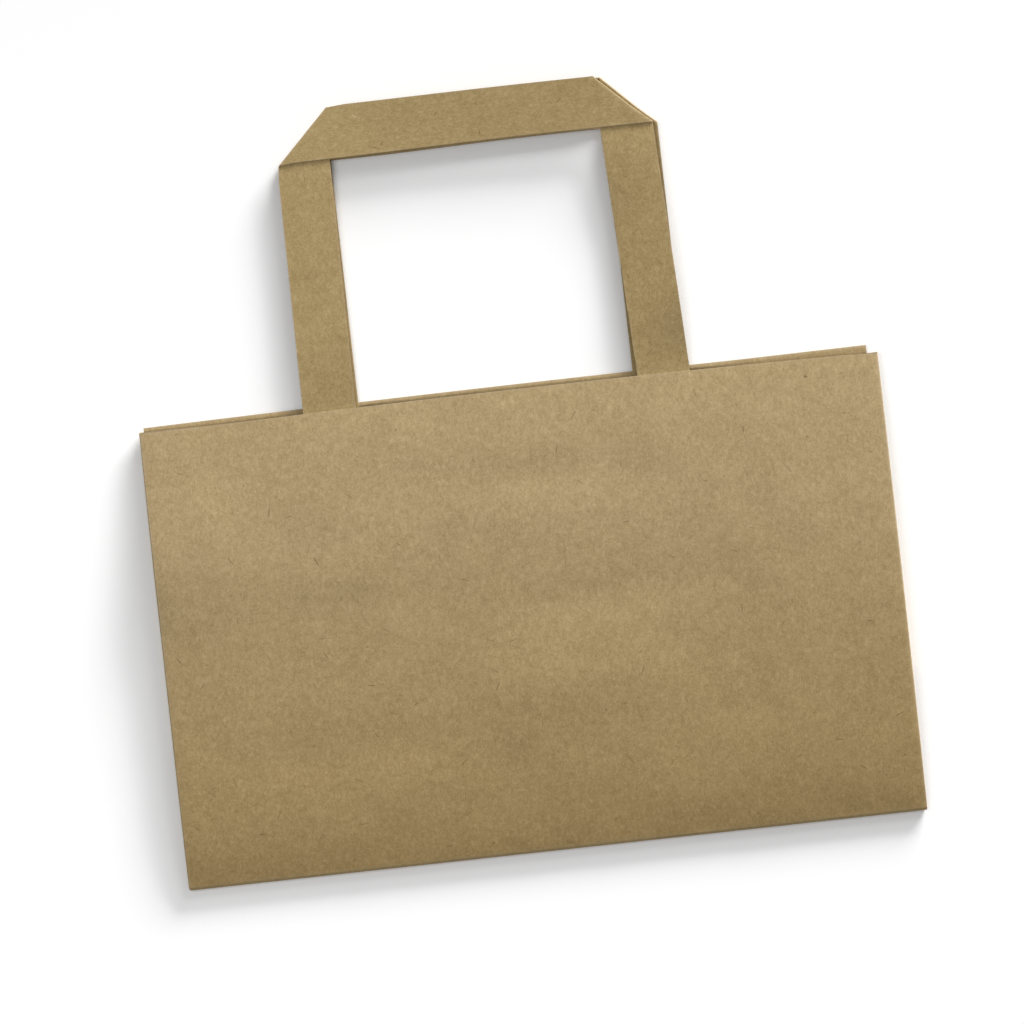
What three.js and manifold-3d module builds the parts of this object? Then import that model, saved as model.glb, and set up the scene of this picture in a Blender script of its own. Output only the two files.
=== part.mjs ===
// A paper carrier bag, folded flat as it comes out of its pack: one glued sheet of kraft paper with side
// gussets and a block bottom, and two flat handles of folded paper tape, each held in the mouth by a patch.
// Millimetres. X runs across the panels, Y from the bottom fold up to the handles, and +Z up, out of the
// front panel. The bag lies on its folded base at z = 0, with the middle of its outline over the origin.

import * as THREE from "three";
import { mergeVertices } from "three/addons/utils/BufferGeometryUtils.js";
import Module from "manifold-3d";

const wasm = await Module();
wasm.setup();

// Driving dimensions of the sheet
const PANEL_WIDTH = 320; // front panel, side fold to side fold
const PANEL_HEIGHT = 198; // front panel, bottom fold to cut edge
const SIDE_DEPTH = 120; // side wall, which its gusset folds in half
const BACK_RISE_LEFT = 2.3; // the back panel's cut edge above the front panel's, at its two ends
const BACK_RISE_RIGHT = 4.1;
const GUSSET_RISE = 0.5; // the side walls' cut edge above the front panel's
const BACK_INSET_LEFT = 1.3; // how far the back panel's fold draws in on its way to the mouth
const BACK_INSET_RIGHT = 3.8;
const FLAP_OVERLAP = 24; // the two base flaps, glued over each other
const SEAM_WIDTH = 16; // the sheet's two ends, glued over each other down the back
const SEAM_CENTRE = -6; // from the middle of the back
const PAPER = 0.15; // kraft paper of about 110 g/m2

// Driving dimensions of the folds
const LAYER_GAP = 0.1; // air between two layers pressed together
const FOLD_REACH = 0.6; // the most that a round fold stands out past its crease
const BOTTOM_REACH = 1.2; // the same at the bottom fold, which wraps the whole stack
const FOLD_LAP = 0.3; // length of flat paper that each fold shares with its two panels
const FOLD_END = 0.8; // crease left open at each end, where several folds meet in a corner
const FOLD_PRESS = 0.9; // a crease presses the paper to this share of its thickness
const GLUE_SINK = 0.02; // how far a glued lap presses into the layer under it
const ARC_STEPS = 3; // half the number of flats round a fold

// Driving dimensions of the handles and their patches
const TAPE_WIDTH = 22.8;
const TAPE_THICKNESS = 0.45; // paper folded over itself into a tape
const TAPE_GAP = 0.15; // air between a handle's bar and the legs it is folded over
const HANDLE_RISE = 131.5; // top of the front handle above the front panel's cut edge
const BACK_DROP = 0.2; // the back handle's bar below the front one's
// Spread and place of each handle, at its feet and at its bar
const FRONT_HANDLE = { drop: 0, footSpread: 166.9, barSpread: 162.3, footCentre: -4.5, barCentre: -6.7 };
const BACK_HANDLE = { drop: BACK_DROP, footSpread: 166, barSpread: 164, footCentre: -5.9, barCentre: -5.4 };
const PATCH_HEIGHT = 38;
const PATCH_DROP = 3; // upper edge of the patches below the front panel's cut edge
const PATCH_MARGIN = 6; // patch left round the feet of the handle
const GLUE_GAP = 0.2; // between separate pieces that lie on each other

// Places worked out from the driving dimensions, with y = 0 at the bottom crease
const heelTop = SIDE_DEPTH; // where the back panel's heel turns under into the base
const tuck = SIDE_DEPTH / 2; // how far each gusset folds in
const flap = tuck + FLAP_OVERLAP / 2; // length of the base flaps
const mouth = PANEL_HEIGHT - BOTTOM_REACH; // front panel's cut edge
const gussetTop = mouth + GUSSET_RISE;
const backTopLeft = mouth + BACK_RISE_LEFT;
const backTopRight = mouth + BACK_RISE_RIGHT;

// Middle height of each layer, stacked from the table up
let stackTop = 0;
function layer(thickness, gapAbove) {
  const middle = stackTop + thickness / 2;
  stackTop += thickness + gapAbove;
  return middle;
}
const heights = {
  frontFlap: layer(PAPER, LAYER_GAP),
  frontCorner: layer(PAPER, LAYER_GAP),
  backFlap: layer(PAPER, LAYER_GAP),
  backCorner: layer(PAPER, LAYER_GAP),
  sideFlap: layer(PAPER, LAYER_GAP),
  sideFloor: layer(PAPER, LAYER_GAP),
  sideHeel: layer(PAPER, LAYER_GAP),
  backHeel: layer(PAPER, LAYER_GAP),
  back: layer(PAPER, GLUE_GAP),
  backLegs: layer(TAPE_THICKNESS, GLUE_GAP),
  backPatch: layer(PAPER, GLUE_GAP),
  gussetBack: layer(PAPER, GLUE_GAP),
  gussetFront: layer(PAPER, GLUE_GAP),
  frontPatch: layer(PAPER, GLUE_GAP),
  frontLegs: layer(TAPE_THICKNESS, GLUE_GAP),
  front: layer(PAPER, 0),
};
const barStep = TAPE_THICKNESS + TAPE_GAP; // from a handle's legs to its bar
const sideReach = Math.min(FOLD_REACH, (heights.front - heights.gussetFront + PAPER) / 2);
const half = PANEL_WIDTH / 2 - sideReach; // side creases from the middle of the bag

// Turns a closed geometry into a solid that can be joined
function solidOf(geometry) {
  geometry.deleteAttribute("normal");
  geometry.deleteAttribute("uv");
  const merged = mergeVertices(geometry);
  const vertProperties = Float32Array.from(merged.attributes.position.array);
  const triVerts = Uint32Array.from(merged.index.array);
  return new wasm.Manifold(new wasm.Mesh({ numProp: 3, vertProperties, triVerts }));
}

// A flat stretch of paper or tape with the given outline
function plate(outline, middle, thickness) {
  const shape = new THREE.Shape(outline.map(([x, y]) => new THREE.Vector2(x, y)));
  const geometry = new THREE.ExtrudeGeometry(shape, { depth: thickness, bevelEnabled: false });
  geometry.translate(0, 0, middle - thickness / 2);
  return solidOf(geometry);
}

// A fold along the crease from one point to another, standing out to the left of that direction: a half
// ring between the upper and the lower layer, with a short flat lap into each of them
function fold(from, to, upper, lower, flatThickness, reach) {
  const thickness = flatThickness * FOLD_PRESS;
  const middle = (upper + lower) / 2;
  const rise = (upper - lower + thickness) / 2;
  const out = Math.min(rise, reach);
  const section = new THREE.Shape();
  section.moveTo(-FOLD_LAP, middle + rise);
  section.lineTo(0, middle + rise);
  section.absellipse(0, middle, out, rise, Math.PI / 2, -Math.PI / 2, true);
  section.lineTo(-FOLD_LAP, middle - rise);
  section.lineTo(-FOLD_LAP, middle - rise + thickness);
  section.lineTo(0, middle - rise + thickness);
  section.absellipse(0, middle, out - thickness, rise - thickness, -Math.PI / 2, Math.PI / 2, false);
  section.lineTo(-FOLD_LAP, middle + rise - thickness);
  const start = new THREE.Vector3(...from, 0);
  const along = new THREE.Vector3(...to, 0).sub(start);
  const depth = along.length() - 2 * FOLD_END;
  along.normalize();
  start.addScaledVector(along, FOLD_END);
  const up = new THREE.Vector3(0, 0, 1);
  const outward = new THREE.Vector3().crossVectors(up, along);
  const options = { depth, bevelEnabled: false, curveSegments: ARC_STEPS };
  const geometry = new THREE.ExtrudeGeometry(section, options);
  geometry.applyMatrix4(new THREE.Matrix4().makeBasis(outward, up, along).setPosition(start));
  return solidOf(geometry);
}

function paperPlate(outline, middle) {
  return plate(outline, middle, PAPER);
}

function paperFold(from, to, upper, lower, reach = FOLD_REACH) {
  return fold(from, to, upper, lower, PAPER, reach);
}

function joined(solids) {
  return solids.reduce((whole, next) => whole.add(next));
}

// Front panel, back panel and the two base flaps, with the folds that cross the whole width
function panels() {
  const h = heights;
  const innerEnd = half - flap;
  const front = [[-half, 0], [half, 0], [half, mouth], [-half, mouth]];
  const backLeft = [BACK_INSET_LEFT - half, backTopLeft];
  const backRight = [half - BACK_INSET_RIGHT, backTopRight];
  const back = [[-half, tuck], [half, tuck], backRight, backLeft];
  const heel = [[-half, tuck], [half, tuck], [half, heelTop], [-half, heelTop]];
  const flapLow = heelTop - flap;
  const backFlap = [[-half, heelTop], [half, heelTop], [innerEnd, flapLow], [-innerEnd, flapLow]];
  const frontFlap = [[-half, 0], [half, 0], [innerEnd, flap], [-innerEnd, flap]];
  return [
    paperPlate(front, h.front),
    paperPlate(back, h.back),
    paperPlate(heel, h.backHeel),
    paperPlate(backFlap, h.backFlap),
    paperPlate(frontFlap, h.frontFlap),
    paperFold([half, 0], [-half, 0], h.front, h.frontFlap, BOTTOM_REACH),
    paperFold([half, tuck], [-half, tuck], h.back, h.backHeel),
    paperFold([-half, heelTop], [half, heelTop], h.backHeel, h.backFlap),
  ];
}

// One side wall: its two gusset halves, the two triangles it folds into over the base, its base flap and the
// corners that turn in under the front and back flaps. The points are for the right side; -1 mirrors them.
function sideWall(side, backInset) {
  const h = heights;
  const inner = half - tuck;
  const innerEnd = half - flap;
  const mirrored = (points) => points.map(([x, y]) => [side * x, y]);
  const sheet = (outline, middle) => paperPlate(mirrored(outline), middle);
  const crease = (from, to, upper, lower) => {
    const ends = mirrored(side > 0 ? [from, to] : [to, from]);
    return paperFold(...ends, upper, lower);
  };
  return [
    sheet([[half, 0], [half, gussetTop], [inner, gussetTop], [inner, tuck]], h.gussetFront),
    sheet([[half, tuck], [half - backInset, gussetTop], [inner, gussetTop], [inner, tuck]], h.gussetBack),
    sheet([[half, tuck], [half, heelTop], [inner, tuck]], h.sideHeel),
    sheet([[half, 0], [half, heelTop], [inner, tuck]], h.sideFloor),
    sheet([[innerEnd, 0], [half, 0], [half, heelTop], [innerEnd, heelTop]], h.sideFlap),
    sheet([[half, heelTop], [innerEnd, heelTop], [innerEnd, heelTop - flap]], h.backCorner),
    sheet([[half, 0], [innerEnd, flap], [innerEnd, 0]], h.frontCorner),
    crease([half, mouth], [half, 0], h.front, h.gussetFront),
    crease([inner, tuck], [inner, gussetTop], h.gussetFront, h.gussetBack),
    crease([half - backInset, gussetTop], [half, tuck], h.gussetBack, h.back),
    crease([half, tuck], [inner, tuck], h.gussetBack, h.sideHeel),
    crease([half, heelTop], [half, tuck], h.backHeel, h.sideHeel),
    crease([inner, tuck], [half, heelTop], h.sideHeel, h.sideFloor),
    crease([half, 0], [inner, tuck], h.gussetFront, h.sideFloor),
    crease([half, heelTop], [half, 0], h.sideFloor, h.sideFlap),
    crease([half, 0], [innerEnd, 0], h.sideFlap, h.frontCorner),
    crease([innerEnd, heelTop], [half, heelTop], h.sideFlap, h.backCorner),
    crease([innerEnd, flap], [half, 0], h.frontCorner, h.frontFlap),
    crease([half, heelTop], [innerEnd, heelTop - flap], h.backCorner, h.backFlap),
  ];
}

// The tube's seam: a second layer glued inside the back panel, its heel and its base flap, creases apart
function seam() {
  const strip = (low, high, middle) => {
    const [left, right] = [SEAM_CENTRE - SEAM_WIDTH / 2, SEAM_CENTRE + SEAM_WIDTH / 2];
    const [start, end] = [low + FOLD_END, high - FOLD_END];
    return paperPlate([[left, start], [right, start], [right, end], [left, end]], middle);
  };
  const inside = PAPER - GLUE_SINK;
  return [
    strip(tuck, backTopLeft, heights.back + inside),
    strip(tuck, heelTop, heights.backHeel - inside),
    strip(heelTop - flap, heelTop, heights.backFlap + inside),
  ];
}

// Outer and inner points of one leg: its foot under the patch, and the two ends of its corner fold
function legPoints(spec, side) {
  const barTop = mouth + HANDLE_RISE - spec.drop;
  const foot = new THREE.Vector2(spec.footCentre + side * spec.footSpread / 2, mouth);
  const corner = new THREE.Vector2(spec.barCentre + side * spec.barSpread / 2, barTop - TAPE_WIDTH);
  const along = corner.clone().sub(foot).normalize();
  const across = new THREE.Vector2(-side * along.y, side * along.x);
  const tail = PATCH_DROP + PATCH_HEIGHT - PATCH_MARGIN;
  const footOuter = foot.clone().addScaledVector(along, -tail);
  const footInner = footOuter.clone().addScaledVector(across, TAPE_WIDTH);
  const toBarTop = (barTop - footInner.y) / along.y;
  const cornerInner = footInner.clone().addScaledVector(along, toBarTop);
  return { footOuter, footInner, cornerInner, cornerOuter: corner };
}

// A handle: one tape that runs up a leg, folds over into the bar at 45 degrees, and down the other leg
function handle(spec, legs, bar) {
  const [upper, lower] = bar > legs ? [bar, legs] : [legs, bar];
  const left = legPoints(spec, -1);
  const right = legPoints(spec, 1);
  const tape = (points, middle) => plate(points.map((p) => p.toArray()), middle, TAPE_THICKNESS);
  const corner = (from, to) => fold(from.toArray(), to.toArray(), upper, lower, TAPE_THICKNESS, Infinity);
  return joined([
    tape([left.footOuter, left.footInner, left.cornerInner, left.cornerOuter], legs),
    tape([right.footOuter, right.footInner, right.cornerInner, right.cornerOuter], legs),
    tape([left.cornerOuter, right.cornerOuter, right.cornerInner, left.cornerInner], bar),
    corner(left.cornerOuter, left.cornerInner),
    corner(right.cornerInner, right.cornerOuter),
  ]);
}

// The patch glued over the two feet of a handle
function patch(spec, middle) {
  const left = legPoints(spec, -1).footOuter.x - PATCH_MARGIN;
  const right = legPoints(spec, 1).footOuter.x + PATCH_MARGIN;
  const high = mouth - PATCH_DROP;
  const low = high - PATCH_HEIGHT;
  return paperPlate([[left, low], [right, low], [right, high], [left, high]], middle);
}

// A named piece of the bag with its paper's colour
function piece(name, solid, colour, roughness) {
  const { vertProperties, triVerts } = solid.getMesh();
  const geometry = new THREE.BufferGeometry();
  geometry.setAttribute("position", new THREE.BufferAttribute(vertProperties, 3));
  geometry.setIndex(new THREE.BufferAttribute(triVerts, 1));
  geometry.computeVertexNormals();
  const look = { color: colour, roughness, metalness: 0, flatShading: true };
  const mesh = new THREE.Mesh(geometry, new THREE.MeshStandardMaterial(look));
  mesh.name = name;
  return mesh;
}

const KRAFT = 0xaa946d; // brown kraft of the sheet and the patches
const TAPE_KRAFT = 0xa28c63; // slightly darker paper of the tape
const KRAFT_ROUGHNESS = 0.85;
const TAPE_ROUGHNESS = 0.8;

const sides = [...sideWall(1, BACK_INSET_RIGHT), ...sideWall(-1, BACK_INSET_LEFT)];
const body = joined([...panels(), ...sides, ...seam()]);
const frontHandle = handle(FRONT_HANDLE, heights.frontLegs, heights.frontLegs + barStep);
const backHandle = handle(BACK_HANDLE, heights.backLegs, heights.backLegs - barStep);

const bag = new THREE.Group();
bag.name = "paper_carrier_bag";
bag.add(
  piece("bag_body", body, KRAFT, KRAFT_ROUGHNESS),
  piece("front_handle", frontHandle, TAPE_KRAFT, TAPE_ROUGHNESS),
  piece("back_handle", backHandle, TAPE_KRAFT, TAPE_ROUGHNESS),
  piece("front_handle_patch", patch(FRONT_HANDLE, heights.frontPatch), KRAFT, KRAFT_ROUGHNESS),
  piece("back_handle_patch", patch(BACK_HANDLE, heights.backPatch), KRAFT, KRAFT_ROUGHNESS),
);
const middle = new THREE.Box3().setFromObject(bag).getCenter(new THREE.Vector3());
bag.position.set(-middle.x, -middle.y, 0);

export default bag;
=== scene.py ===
# %% [markdown]
# # A paper carrier bag, folded flat
#
# The real object is a brown kraft carrier bag as it comes out of its pack: one glued sheet of paper with side
# gussets and a block bottom, and two flat handles of folded paper tape that are glued inside the mouth under
# paper patches. It was first built as plain solids. This lesson loads those solids as a fixed frame, then
# makes each piece again as real folded paper, in the same place and at the same size.

import math

import bmesh
import bpy
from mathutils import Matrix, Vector, noise


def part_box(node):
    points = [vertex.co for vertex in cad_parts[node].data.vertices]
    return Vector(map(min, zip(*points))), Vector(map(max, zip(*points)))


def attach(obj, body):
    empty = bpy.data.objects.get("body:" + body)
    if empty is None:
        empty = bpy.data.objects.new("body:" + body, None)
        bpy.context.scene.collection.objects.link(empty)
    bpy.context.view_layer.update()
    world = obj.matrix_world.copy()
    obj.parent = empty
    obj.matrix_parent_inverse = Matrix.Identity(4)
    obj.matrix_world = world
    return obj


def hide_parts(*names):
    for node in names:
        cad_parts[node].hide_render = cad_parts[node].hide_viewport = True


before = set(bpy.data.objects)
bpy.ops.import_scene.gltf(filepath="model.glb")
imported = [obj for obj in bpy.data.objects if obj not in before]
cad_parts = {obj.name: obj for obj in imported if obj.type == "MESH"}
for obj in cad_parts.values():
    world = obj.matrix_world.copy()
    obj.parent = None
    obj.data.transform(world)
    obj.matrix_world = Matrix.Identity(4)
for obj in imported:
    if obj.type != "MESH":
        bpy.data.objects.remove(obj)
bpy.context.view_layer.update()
MM = 0.001

# %% [markdown]
# ## Where the paper folds
#
# A folded bag is easiest to think of from its creases. The outer size comes from the frame, and the few sizes
# that the frame hides inside the folds are named here, in millimetres, as a bag maker would state them.

# %% Creases of the sheet
PAPER = 0.15  # thickness of the kraft sheet
SIDE_DEPTH = 120.0  # width of a side wall, which its gusset folds in half
FLAP_LENGTH = 72.0  # base flaps, glued over each other
BOTTOM_REACH = 1.2  # how far the bottom fold stands out past its crease
SIDE_REACH = 0.6  # the same at the side folds
GUSSET_RISE = 0.5  # cut edge of the side walls above the front panel's
BACK_RISE = {-1: 2.3, 1: 4.1}  # cut edge of the back panel above the front panel's, left and right
BACK_INSET = {-1: 1.3, 1: 3.8}  # how far the back panel draws in at the mouth, left and right
SEAM = (-14.0, 2.0)  # from the cut end of the right half of the back to that of the left half


def box_mm(node):
    return [Vector([round(v / MM, 3) for v in corner]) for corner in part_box(node)]


body_low, body_high = box_mm("bag_body")
half = (body_high.x - body_low.x) / 2 - SIDE_REACH
inner = half - SIDE_DEPTH / 2
flap_end = half - FLAP_LENGTH
bottom = body_low.y + BOTTOM_REACH
tuck = bottom + SIDE_DEPTH / 2
heel = bottom + SIDE_DEPTH
mouth = body_high.y - max(BACK_RISE.values())
gusset_top = mouth + GUSSET_RISE
print(f"side creases at {half:.1f}, bottom crease at {bottom:.1f}, front cut edge at {mouth:.1f}")

# %% [markdown]
# ## The stack of layers
#
# Folded flat, the bag is a stack of up to sixteen layers. Each gets a middle height, counted up from the
# table, with a little air between pressed layers and a film of glue between separate pieces. The stack is the
# same as in the solids, so every layer of the dressed bag lies where its solid lies.

# %% Middle height of each layer
TAPE = 0.45  # thickness of the folded tape of the handles
LAYER_GAP = 0.1
GLUE_GAP = 0.2
PRESSED = ["front_flap", "front_corner", "back_flap", "back_corner"]
PRESSED += ["side_flap", "side_floor", "side_heel", "back_heel"]
LOOSE = ["back", "back_legs", "back_patch", "gusset_back"]
LOOSE += ["gusset_front", "front_patch", "front_legs", "front"]

heights = {}
stack_top = 0.0
for layer in PRESSED + LOOSE:
    thickness = TAPE if layer.endswith("legs") else PAPER
    heights[layer] = stack_top + thickness / 2
    stack_top += thickness + (LAYER_GAP if layer in PRESSED else GLUE_GAP)
pressed_top = heights["back"] + PAPER
loose_height = heights["front"] - pressed_top
print(f"{len(heights)} layers, front panel at {heights['front']:.2f} mm")

# %% [markdown]
# ## The belly
#
# Paper never lies like a pile of plates. The lower layers are pressed together by the base fold, and the
# upper ones swell into a low belly that rolls down to the bottom fold. One number tells how much of its loose
# height the upper stack keeps at a place. All loose layers are scaled by it together, so they cannot cross.

# %% Belly of the upper layers
BELLY_SHARE = 1.05  # of the loose height, at the fullest place
FOLD_SHARE = 0.22  # the same at the bottom fold, where the paper lies on itself
MOUTH_SHARE = 0.62  # the same at the mouth
FOLD_LENGTH = 23.0  # over which the bottom fold lets go
SIDE_ROLL = 0.04  # extra drop where the panel rolls over into the side folds
SIDE_ROLL_LENGTH = 2.5


def past_base(y):
    """0 over the folded base, growing to 1 at the mouth."""
    return min(max((y - heel) / (mouth - heel), 0.0), 1.0)


def near_fold(y):
    """1 at the bottom fold, fading upwards."""
    return math.exp(-max(y - bottom, 0.0) / FOLD_LENGTH)


def belly(x, y):
    share = BELLY_SHARE - (BELLY_SHARE - FOLD_SHARE) * near_fold(y)
    share -= (BELLY_SHARE - MOUTH_SHARE) * past_base(y) ** 2
    share -= SIDE_ROLL * math.exp(-max(half - abs(x), 0.0) / SIDE_ROLL_LENGTH)
    return share


print(f"share kept: {belly(0, bottom):.2f} at the fold, {belly(0, heel):.2f} over the base")

# %% [markdown]
# ## Marks of what lies underneath
#
# The front panel shows faint hollows and swellings where it bridges the layers below: across the patch, along
# the edge of the base, over its flaps and along the gusset folds. Each is a long shallow form with a place, a
# direction and a rise. Broad soft noise adds the rest of the unevenness that a sheet has after it was folded
# and packed.

# %% Swellings, hollows and waves of the front panel
RELIEF = {  # x, distance below the mouth, half length, half width, turn in degrees, rise as a share
    "lower edge of the patch": (0, 37, 62, 10, -4, -0.12),
    "edge of the base, right": (40, 90, 48, 9, 3, -0.10),
    "edge of the base, left": (-80, 71, 20, 9, 5, 0.13),
    "edge of the base, far left": (-148, 58, 27, 25, 0, 0.31),
    "flaps of the base": (14, 126, 41, 19, 0, 0.22),
    "fold of the base, left": (-85, 146, 48, 11, 0, -0.10),
    "fold of the base, right": (85, 146, 16, 7, 0, -0.05),
    "beside the flaps": (-22, 169, 20, 11, 63, -0.14),
    "right gusset fold, upper side": (121, 62, 18, 6, -55, 0.05),
    "right gusset fold, lower side": (108, 72, 18, 6, -55, -0.05),
    "right side": (140, 97, 50, 34, 0, 0.2),
}
WAVES = {26.0: 0.045, 11.0: 0.022}  # size of the waves in millimetres, and their depth as a share


def form_rise(x, y, spec):
    centre_x, below, length, width, turn, rise = spec
    angle = math.radians(turn)
    dx, dy = x - centre_x, y - (mouth - below)
    along = dx * math.cos(angle) + dy * math.sin(angle)
    across = dy * math.cos(angle) - dx * math.sin(angle)
    return rise * math.exp(-((along / length) ** 4) - (across / width) ** 2)


def marks(x, y):
    forms = sum(form_rise(x, y, spec) for spec in RELIEF.values())
    waves = sum(depth * noise.noise((x / size, y / size, size)) for size, depth in WAVES.items())
    return forms + waves


print(f"{len(RELIEF)} forms, the highest of {max(s[-1] for s in RELIEF.values()) * loose_height:.2f} mm")

# %% [markdown]
# ## Where the handles lift the panel
#
# The tape of a handle is three times as thick as the sheet, so the front panel rides up over each foot and
# sags between them. That is why the cut edge of the front panel stands a little open beside each leg.

# %% Lift over the feet of the handles
TAPE_WIDTH = 22.8
PATCH_DROP = 3.0  # upper edge of the patches below the front panel's cut edge
PATCH_HEIGHT = 38.0
PATCH_MARGIN = 6.0  # patch left round the feet of a handle
HANDLES = {
    "front": {"foot_spread": 166.9, "bar_spread": 162.3, "foot_centre": -4.5, "bar_centre": -6.7},
    "back": {"foot_spread": 166.0, "bar_spread": 164.0, "foot_centre": -5.9, "bar_centre": -5.4},
}
LEG_LIFT = 0.04  # as a share of the loose height
LEG_SHOULDER = 26.0  # width of the slope beside a leg
foot_end = mouth - PATCH_DROP - PATCH_HEIGHT + PATCH_MARGIN
feet = HANDLES["front"]
leg_offset = (feet["foot_spread"] - TAPE_WIDTH) / 2
leg_middles = [feet["foot_centre"] + side * leg_offset for side in (-1, 1)]


def smooth(low, high, value):
    """0 below low, 1 above high, and an even curve between them."""
    t = min(max((value - low) / (high - low), 0.0), 1.0)
    return t * t * (3 - 2 * t)


def leg_lift(x, y):
    lift = 0.0
    for middle in leg_middles:
        beside = abs(x - middle) - TAPE_WIDTH / 2
        lift += LEG_LIFT * (1 - smooth(0.0, LEG_SHOULDER, beside))
    return lift * smooth(foot_end - LEG_SHOULDER, foot_end + LEG_SHOULDER, y)


print("legs of the front handle at x", [round(middle, 1) for middle in leg_middles])

# %% [markdown]
# ## The settled height
#
# Now any point of the stack can be given its height. The loose layers keep their share, the bottom fold
# presses the whole stack, and past the folded base nothing carries it, so there it sags to the table.

# %% Height of a point after the bag has settled
FOLD_PRESS = 0.78  # of the height of the whole stack, at the bottom fold
MOUTH_SAG = 1.0  # of the whole stack at the mouth


def settled(x, y, height):
    if height > pressed_top:
        share = belly(x, min(y, mouth)) + marks(x, y) + leg_lift(x, y)
        height = pressed_top + (height - pressed_top) * max(share, FOLD_SHARE)
    height *= 1 - (1 - FOLD_PRESS) * near_fold(y)
    return height - MOUTH_SAG * past_base(y) ** 2


print(f"front panel at {settled(0, heel, heights['front']):.2f} mm above the base")

# %% [markdown]
# ## A common grid
#
# A fold joins two panels point by point, so both must have the same points along the crease. That is easy
# when every panel is cut from one common grid. Its lines are closer near the outer folds and the mouth, where
# the paper bends most, and a line runs along every level and every upright crease.

# %% Grid lines of the sheet
GRID = 3.0
CROWDED = 0.25  # of the spacing: an even line closer than this to a special one is left out
EDGE_LINES = (0.7, 1.6, 2.8, 4.4)  # extra lines at these distances from a bent edge
RIM_LINES = 12  # extra lines across the strip of the back panel that shows above the front one


def grid_lines(special, low, high, spacing=GRID):
    count = round((high - low) / spacing)
    even = [low + (high - low) * i / count for i in range(count + 1)]
    free = [line for line in even if min(abs(line - s) for s in special) > CROWDED * spacing]
    return sorted({*special, *free})


x_special = {0.0, *SEAM}
for side in (-1, 1):
    x_special |= {side * half, side * inner, side * flap_end}
    x_special |= {side * (half - step) for step in EDGE_LINES}
y_special = {bottom, tuck, heel, bottom + FLAP_LENGTH, heel - FLAP_LENGTH, mouth, gusset_top}
y_special |= {mouth + rise for rise in BACK_RISE.values()}
y_special |= {bottom + step for step in EDGE_LINES} | {mouth - step for step in EDGE_LINES}
y_special |= {mouth + (body_high.y - mouth) * i / RIM_LINES for i in range(1, RIM_LINES)}
sheet_lines = (grid_lines(x_special, -half, half), grid_lines(y_special, bottom, body_high.y))
print(f"grid of {len(sheet_lines[0])} by {len(sheet_lines[1])} lines")

# %% [markdown]
# ## Cutting a panel
#
# The grid cells that cover a panel are made first, as one flat rectangle. `bisect_plane` then trims it along
# each side of the panel's outline, as scissors would. It works on any convex outline, so the triangles of the
# folded base are cut in the same way as the big panels.

# %% Panel cutter
SAME_PLACE = 1e-3  # millimetres within which two points are one
ON_THE_CUT = 1e-4  # the same for a point that lies on a cut
ON_THE_LINE = 1e-6  # the same for an outline that ends on a grid line


def covering(lines, low, high):
    first = max(i for i, line in enumerate(lines) if line <= low + ON_THE_LINE)
    last = min(i for i, line in enumerate(lines) if line >= high - ON_THE_LINE)
    return lines[first : last + 1]


def cut_panel(outline, x_lines, y_lines):
    """A flat panel with a convex outline, as a bmesh cut from the common grid."""
    xs = covering(x_lines, min(p[0] for p in outline), max(p[0] for p in outline))
    ys = covering(y_lines, min(p[1] for p in outline), max(p[1] for p in outline))
    panel = bmesh.new()
    rows = [[panel.verts.new((x, y, 0)) for x in xs] for y in ys]
    for low_row, high_row in zip(rows, rows[1:]):
        for i in range(len(xs) - 1):
            panel.faces.new((low_row[i], low_row[i + 1], high_row[i + 1], high_row[i]))
    corners = [Vector((*p, 0)) for p in outline]
    centre = sum(corners, Vector()) / len(corners)
    for start, end in zip(corners, corners[1:] + corners[:1]):
        edge = end - start
        outward = Vector((edge.y, -edge.x, 0))
        if outward.dot(centre - start) > 0:
            outward.negate()
        everything = panel.verts[:] + panel.edges[:] + panel.faces[:]
        bmesh.ops.bisect_plane(
            panel, geom=everything, dist=ON_THE_CUT, plane_co=start, plane_no=outward, clear_outer=True
        )
    bmesh.ops.remove_doubles(panel, verts=panel.verts, dist=SAME_PLACE)
    return panel


print(f"cuts are true to {ON_THE_CUT} mm")

# %% [markdown]
# ## Laying a panel
#
# A laid panel is a cut panel whose points have been given their settled height. Each point also carries two
# values for the paper's finish: wear, one at folds and cut edges and fading inwards, which pales the edges,
# and turned, one where the web of the paper runs across the bag instead of up it.

# %% Panel builder
WEAR_WIDTH = 0.8


def new_piece():
    piece = bmesh.new()
    piece.verts.layers.float.new("wear")
    piece.verts.layers.float.new("turned")
    return piece


def line_distance(x, y, start, end):
    along = Vector(end) - Vector(start)
    return abs((Vector((x, y)) - Vector(start)).cross(along)) / along.length


def edge_distance(x, y, outline):
    return min(line_distance(x, y, *ends) for ends in zip(outline, outline[1:] + outline[:1]))


def lay_panel(piece, outline, lines, height, web_turned=0.0):
    """Adds a cut panel to a piece, with height(x, y) for its points, and returns its vertices."""
    panel = cut_panel(outline, *lines)
    loose = bpy.data.meshes.new("loose panel")
    panel.to_mesh(loose)
    panel.free()
    first = len(piece.verts)
    piece.from_mesh(loose)
    bpy.data.meshes.remove(loose)
    piece.verts.ensure_lookup_table()
    laid = piece.verts[first:]
    wear, turned = piece.verts.layers.float["wear"], piece.verts.layers.float["turned"]
    for vert in laid:
        x, y, _ = vert.co
        vert.co.z = height(x, y)
        vert[wear] = max(0.0, 1 - edge_distance(x, y, outline) / WEAR_WIDTH)
        vert[turned] = web_turned
    return laid


print(f"edges are worn over {WEAR_WIDTH} mm")

# %% [markdown]
# ## Folding two panels together
#
# A fold is a strip of arcs from the crease points of the upper panel down to those of the lower one: half
# ellipses where the paper rolls over, and squarer ones where the fold was pressed. Both are the same formula
# with another power of the sine and the cosine.

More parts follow.
